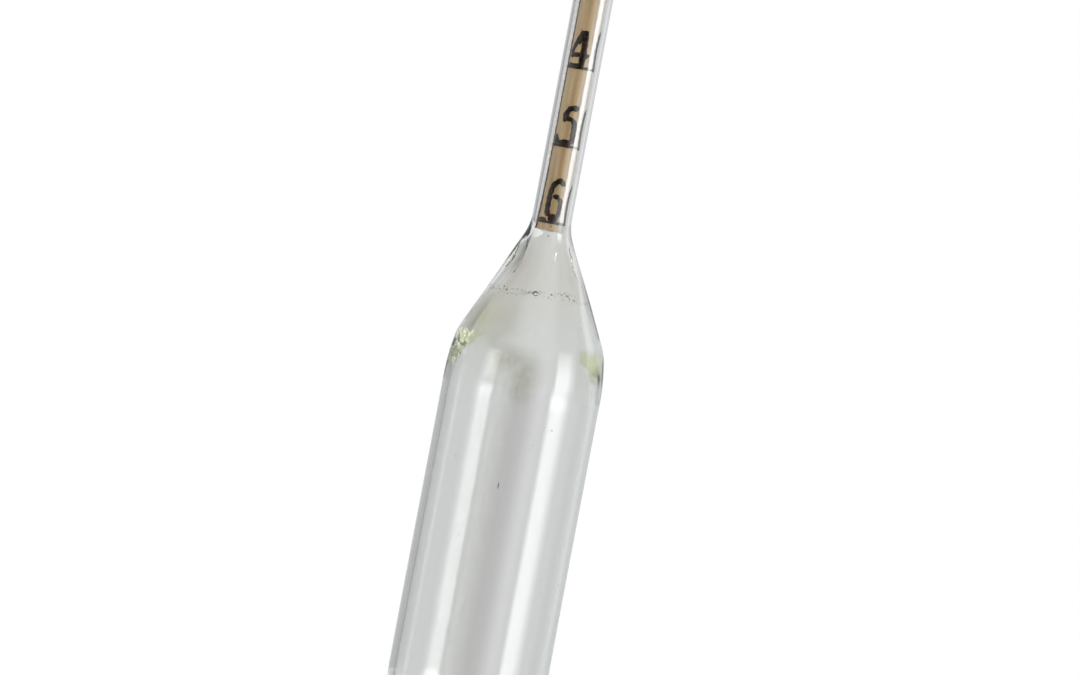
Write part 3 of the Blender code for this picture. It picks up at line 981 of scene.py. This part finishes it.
def paper_material():
    """Laid paper gone brown, painted pale to the right as the glass's reflection of the lamp:
    fibres along it, stains, foxing and a crease.
    """
    made, nodes = new_material("aged_paper")
    streaks = nodes.noise(nodes.place((1.7, 1.7, 0.10)), 1.0, 3.0, 0.6)
    stains = nodes.noise(nodes.place((0.5, 0.5, 0.12)), 1.0, 3.0, 0.55)
    fibres = nodes.noise(nodes.place((9, 9, 3)), 1.0, 3.0, 0.7)
    fox = nodes.noise(nodes.place(), 0.9, 3.0, 0.7)
    crease = nodes.blob((-0.35, 0, 30), (0.42, 6, 400))
    across = nodes.apart(nodes.place())[0]
    layers = [
        (nodes.ramp(stains, 0.42, 0.68, 0.0, 0.7), STAIN),
        (nodes.ramp(fibres, 0.52, 0.72, 0.0, 0.35), FIBRE),
        (nodes.ramp(fox, 0.66, 0.74, 0.0, 0.6), FOXING),
        (nodes.times(crease, nodes.ramp(stains, 0.35, 0.60, 0.2, 0.8)), CREASE),
        # painted reflection of the lamp over the right of the paper
        (nodes.ramp(across, 0.30, 1.10, 0.0, 0.9), PAINTED_REFLECTION_TONE),
    ]
    tone = nodes.mixed(nodes.ramp(streaks, 0.35, 0.65), *BROWN_PAPER)
    for share, colour in layers:
        tone = nodes.mixed(share, tone, colour)
    grain = nodes.noise(nodes.place((7, 7, 4)), 1.0, 4.0, 0.7)
    finish(nodes, nodes.surface(tone, nodes.ramp(grain, 0.3, 0.7, 0.72, 0.92), grain, 0.03))
    return made


INK = (0.004, 0.002, 0.001, 1), (0.050, 0.030, 0.018, 1)


def ink_material():
    """Iron gall ink, black where it pooled and brown where it is thin."""
    made, nodes = new_material("iron_gall_ink")
    pool = nodes.noise(nodes.place(), 2.2, 3.0, 0.6)
    tone = nodes.mixed(nodes.ramp(pool, 0.40, 0.62), *INK)
    rough = nodes.ramp(pool, 0.3, 0.7, 0.45, 0.7)
    finish(nodes, nodes.surface(tone, rough, pool, 0.01, 0.4, {"Specular IOR Level": 0.03}))
    return made


LEAD = (0.13, 0.135, 0.15, 1), (0.26, 0.265, 0.28, 1)
LEAD_BLOOM = (0.50, 0.50, 0.47, 1)


def lead_material():
    """Lead dulled to a blue grey, with white bloom in patches and bright scuffs."""
    made, nodes = new_material("dull_lead")
    bloom = nodes.noise(nodes.place(), 0.55, 5.0, 0.65)
    grit = nodes.noise(nodes.place(), 5.0, 3.0, 0.7)
    tone = nodes.mixed(nodes.ramp(grit, 0.35, 0.65), *LEAD)
    tone = nodes.mixed(nodes.times(nodes.ramp(bloom, 0.52, 0.66), 0.6), tone, LEAD_BLOOM)
    metal = nodes.ramp(bloom, 0.50, 0.62, 0.85, 0.1)
    rough = nodes.ramp(grit, 0.3, 0.7, 0.38, 0.62)
    finish(nodes, nodes.surface(tone, rough, grit, 0.06, 0.6, {"Metallic": metal}))
    return made


WAX = (0.16, 0.030, 0.018, 1), (0.31, 0.075, 0.040, 1)
WAX_DUST = (0.42, 0.25, 0.18, 1)


def wax_material():
    """Red-brown sealing wax, streaked in the pouring and dusted dull in patches."""
    made, nodes = new_material("red_brown_wax")
    swirl = nodes.noise(nodes.place((0.6, 0.6, 1.1)), 1.0, 4.0, 0.6)
    dust = nodes.noise(nodes.place(), 3.5, 4.0, 0.7)
    tone = nodes.mixed(nodes.ramp(swirl, 0.35, 0.65), *WAX)
    tone = nodes.mixed(nodes.ramp(dust, 0.60, 0.75, 0.0, 0.35), tone, WAX_DUST)
    rough = nodes.ramp(dust, 0.4, 0.7, 0.28, 0.55)
    finish(nodes, nodes.surface(tone, rough, dust, 0.05, others={"Coat Weight": 0.25}))
    return made


# The studio.


def curve_value(nodes, value, points):
    """A value mapped through a smooth curve of (0..1, 0..1) points."""
    node = nodes.add("ShaderNodeFloatCurve", {"Value": value})
    curve = node.mapping.curves[0]
    while len(curve.points) < len(points):
        curve.points.new(0.5, 0.5)
    for point, where in zip(curve.points, points):
        point.location = where
        point.handle_type = "AUTO_CLAMPED"
    node.mapping.update()
    return node.outputs[0]


# How bright the room is, by azimuth in degrees from behind the camera, right positive. Level
# with the object it is dark on the camera's side.
WALLS = [
    (-180, 1.0), (-174, 0.75), (-166, 0.52), (-150, 0.50), (-138, 0.34), (-120, 0.30),
    (-108, 0.60), (-104, 1.2), (-101, 0.62), (-80, 0.70), (-60, 0.55), (-50, 0.42),
    (-35, 0.28), (-22, 0.13), (-10, 0.05), (0, 0.04), (8, 0.30), (16, 0.85), (26, 1.60),
    (34, 2.0), (41, 1.6), (48, 1.5), (60, 1.4), (75, 1.2), (95, 1.1), (120, 0.80),
    (138, 0.75), (152, 0.62), (166, 0.62), (174, 0.75), (180, 1.0),
]
CEILING = [
    (-180, 1.2), (-165, 0.85), (-145, 0.70), (-120, 0.60), (-60, 0.45), (-45, 0.75),
    (-30, 1.15), (-12, 1.5), (10, 1.7), (30, 1.8), (48, 1.6), (60, 1.2), (75, 1.1),
    (100, 0.9), (125, 0.85), (148, 0.80), (164, 1.1), (180, 1.2),
]
GROUND = [(-180, 0.56), (-90, 0.45), (0, 0.60), (90, 1.0), (180, 0.56)]
SOFT_BOX = [(0, 0), (46, 0), (49, 3.5), (64, 3.7), (70, 2.4), (78, 0.8), (86, 0), (180, 0)]
BRIGHTEST = 8.0  # top of the scale of the curves above
BACKDROP = 0.56
WHITE, COOL_ROOM = (1, 1, 1, 1), (0.985, 1.0, 1.015, 1)
DULL_EVEN, DULL_ROOM = 3.8, 0.5  # lights for dull surfaces: an even one and a share of the room
DULL_BOUNCE = 0.25  # and what their own rays find, which glass stops


def by_azimuth(nodes, share, levels):
    points = [((degrees + 180) / 360, level / BRIGHTEST) for degrees, level in levels]
    return nodes.times(curve_value(nodes, share, points), BRIGHTEST)


def blended(nodes, share, one, other):
    inputs = {0: share, 2: one, 3: other}
    return nodes.add("ShaderNodeMix", inputs, data_type="FLOAT").outputs[0]


def room_light(nodes):
    """Brightness of the room in the ray's direction."""
    where = nodes.add("ShaderNodeTexCoord").outputs["Generated"]
    x, y, up = nodes.apart(where)
    turn = nodes.math("ARCTAN2", x, nodes.times(y, -1.0))
    whole = {0: turn, 1: -math.pi, 2: math.pi, 3: 0.0, 4: 1.0}
    share = nodes.add("ShaderNodeMapRange", whole).outputs[0]
    walls = by_azimuth(nodes, share, WALLS)
    level = blended(nodes, nodes.ramp(up, 0.10, 0.50), walls, by_azimuth(nodes, share, CEILING))
    level = blended(nodes, nodes.ramp(up, -0.12, -0.45), level, by_azimuth(nodes, share, GROUND))
    box = nodes.times(by_azimuth(nodes, share, SOFT_BOX), nodes.ramp(up, -0.03, 0.07, 1.0, 2.2))
    box = nodes.times(box, nodes.ramp(nodes.math("ABSOLUTE", up), 0.08, 0.45, 1.0, 0.0))
    return nodes.plus(level, box)


def world_light():
    """Rays that only pass through the glass see an even backdrop, and reflections see the room."""
    world = bpy.data.worlds.new("studio")
    bpy.context.scene.world = world
    world.use_nodes = True
    nodes = Nodes(world.node_tree)
    path = nodes.add("ShaderNodeLightPath").outputs
    passing = path["Is Transmission Ray"]
    turns = nodes.plus(path["Glossy Depth"], path["Diffuse Depth"])
    turned = nodes.math("MINIMUM", turns, 1.0)
    through = nodes.times(passing, nodes.math("SUBTRACT", 1.0, turned))
    sharp = nodes.largest(path["Is Glossy Ray"], passing)
    room = room_light(nodes)
    dull = nodes.plus(nodes.times(room, DULL_ROOM), DULL_EVEN)
    dull = blended(nodes, path["Is Diffuse Ray"], dull, DULL_BOUNCE)
    level = blended(nodes, through, blended(nodes, sharp, dull, room), BACKDROP)
    strength = blended(nodes, path["Is Camera Ray"], level, 1.0)
    cool = nodes.times(sharp, nodes.math("SUBTRACT", 1.0, through))
    colour = nodes.mixed(cool, WHITE, COOL_ROOM)
    sky = nodes.add("ShaderNodeBackground", {0: colour, 1: strength})
    out = nodes.add("ShaderNodeOutputWorld")
    nodes.put(out.inputs[0], sky.outputs[0])


FLOOR_R = 320.0
FLOOR_GREY = (0.80, 0.80, 0.79, 1)


def floor_disc():
    """A pale floor under the bulb, which fades out into the white of the room where it is seen."""
    made, nodes = new_material("pale_floor")
    where = nodes.add("ShaderNodeTexCoord").outputs["Object"]
    fade = nodes.ramp(nodes.length(where), 0.35 * FLOOR_R * MM, 0.98 * FLOOR_R * MM)
    seen = nodes.add("ShaderNodeLightPath").outputs["Is Camera Ray"]
    inputs = {"Base Color": FLOOR_GREY, "Roughness": 0.7}
    shader = nodes.add("ShaderNodeBsdfPrincipled", inputs)
    finish(nodes, nodes.see_through(nodes.times(seen, fade), shader))
    disc = bmesh.new()
    bmesh.ops.create_circle(disc, cap_ends=True, segments=96, radius=FLOOR_R * MM)
    mesh = bpy.data.meshes.new("floor")
    disc.to_mesh(mesh)
    disc.free()
    mesh.materials.append(made)
    floor = bpy.data.objects.new("floor", mesh)
    floor.location.z = (SHOULDER + BULB_LOW - 0.05) * MM
    bpy.context.scene.collection.objects.link(floor)


LEAN = math.radians(10.65)
AIM = Vector((1.08, 0, SHOULDER + 4.30)) * MM
VIEW_WIDTH = 135.8 * MM
LENS, SENSOR = 135.0, 36.0


def camera():
    """Level with the shoulder, and rolled, so that the stem leans to the right."""
    data = bpy.data.cameras.new("camera")
    data.lens = LENS
    data.sensor_width = SENSOR
    made = bpy.data.objects.new("camera", data)
    bpy.context.scene.collection.objects.link(made)
    away = VIEW_WIDTH * LENS / SENSOR
    upright = Matrix.Rotation(TAU / 4, 4, "X")
    roll = Matrix.Rotation(-LEAN, 4, "Y")
    made.matrix_world = Matrix.Translation(AIM - Vector((0, away, 0))) @ roll @ upright
    bpy.context.scene.camera = made


def glass_needs():
    """Enough bounces for light to find its way through four walls of glass."""
    scene = bpy.context.scene
    scene.view_settings.view_transform = "Standard"
    scene.cycles.max_bounces = 24
    scene.cycles.transmission_bounces = 24
    scene.cycles.transparent_max_bounces = 16
    scene.cycles.caustics_refractive = False
    scene.cycles.caustics_reflective = False


def main():
    camera()
    world_light()
    floor_disc()
    glass_needs()
    glass_envelope(glass_material())
    weld_specks(soot_material())
    # Flakes of froth in the glass paint its light: pale ones glints, with a painted glow, olive and
    # dark ones shade.
    pale = froth_material("painted_glint_froth", *GLINT_FROTH, PAINTED_GLOW)
    olive_shade = froth_material("olive_shade_froth", *OLIVE_SHADE_FROTH)
    painted_shade = froth_material("painted_shade_froth", *SHADE_FROTH)
    flakes("painted_glint_flakes", GLINT_FLAKES, SHALLOW, pale)
    flakes("olive_shade_flakes", OLIVE_SHADE_FLAKES, DEEPER, olive_shade)
    flakes("painted_shade_flakes", SHADE_FLAKES, SHALLOW, painted_shade)
    paper_roll(paper_material())
    scale_ink(ink_material())
    lead, wax = lead_material(), wax_material()
    for number in range(1, PELLETS + 1):
        pellet(f"shot_{number:02d}", number, lead)
    poured_wax(wax)
    wax_drop(wax)


main()
